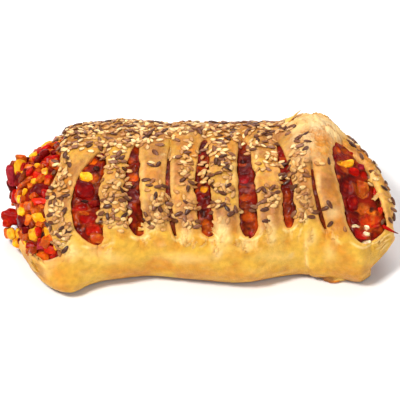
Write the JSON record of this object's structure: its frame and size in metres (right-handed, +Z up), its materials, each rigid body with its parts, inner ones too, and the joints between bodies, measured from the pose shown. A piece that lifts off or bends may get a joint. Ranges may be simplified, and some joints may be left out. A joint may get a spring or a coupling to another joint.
{
  "type": "strudel",
  "caption": "Savoury strudel: a puff pastry roll with slits across its top, topped with seeds and open at both ends, where a pepper and sweetcorn filling shows",
  "frame": {"origin": "middle of the flat underside, on the surface that the strudel stands on", "axes": "+X runs along the roll from the end where the filling spills out to the other, +Y points to the back and -Y to the smooth front wall below the slits, +Z is up"},
  "size_m": [0.1716, 0.0929, 0.0479],
  "materials": {
    "crust": "baked golden brown",
    "filling": "wet, red and orange"
  },
  "bodies": {
    "root": {"pastry": "crust", "filling": "filling"}
  },
  "joints": []
}
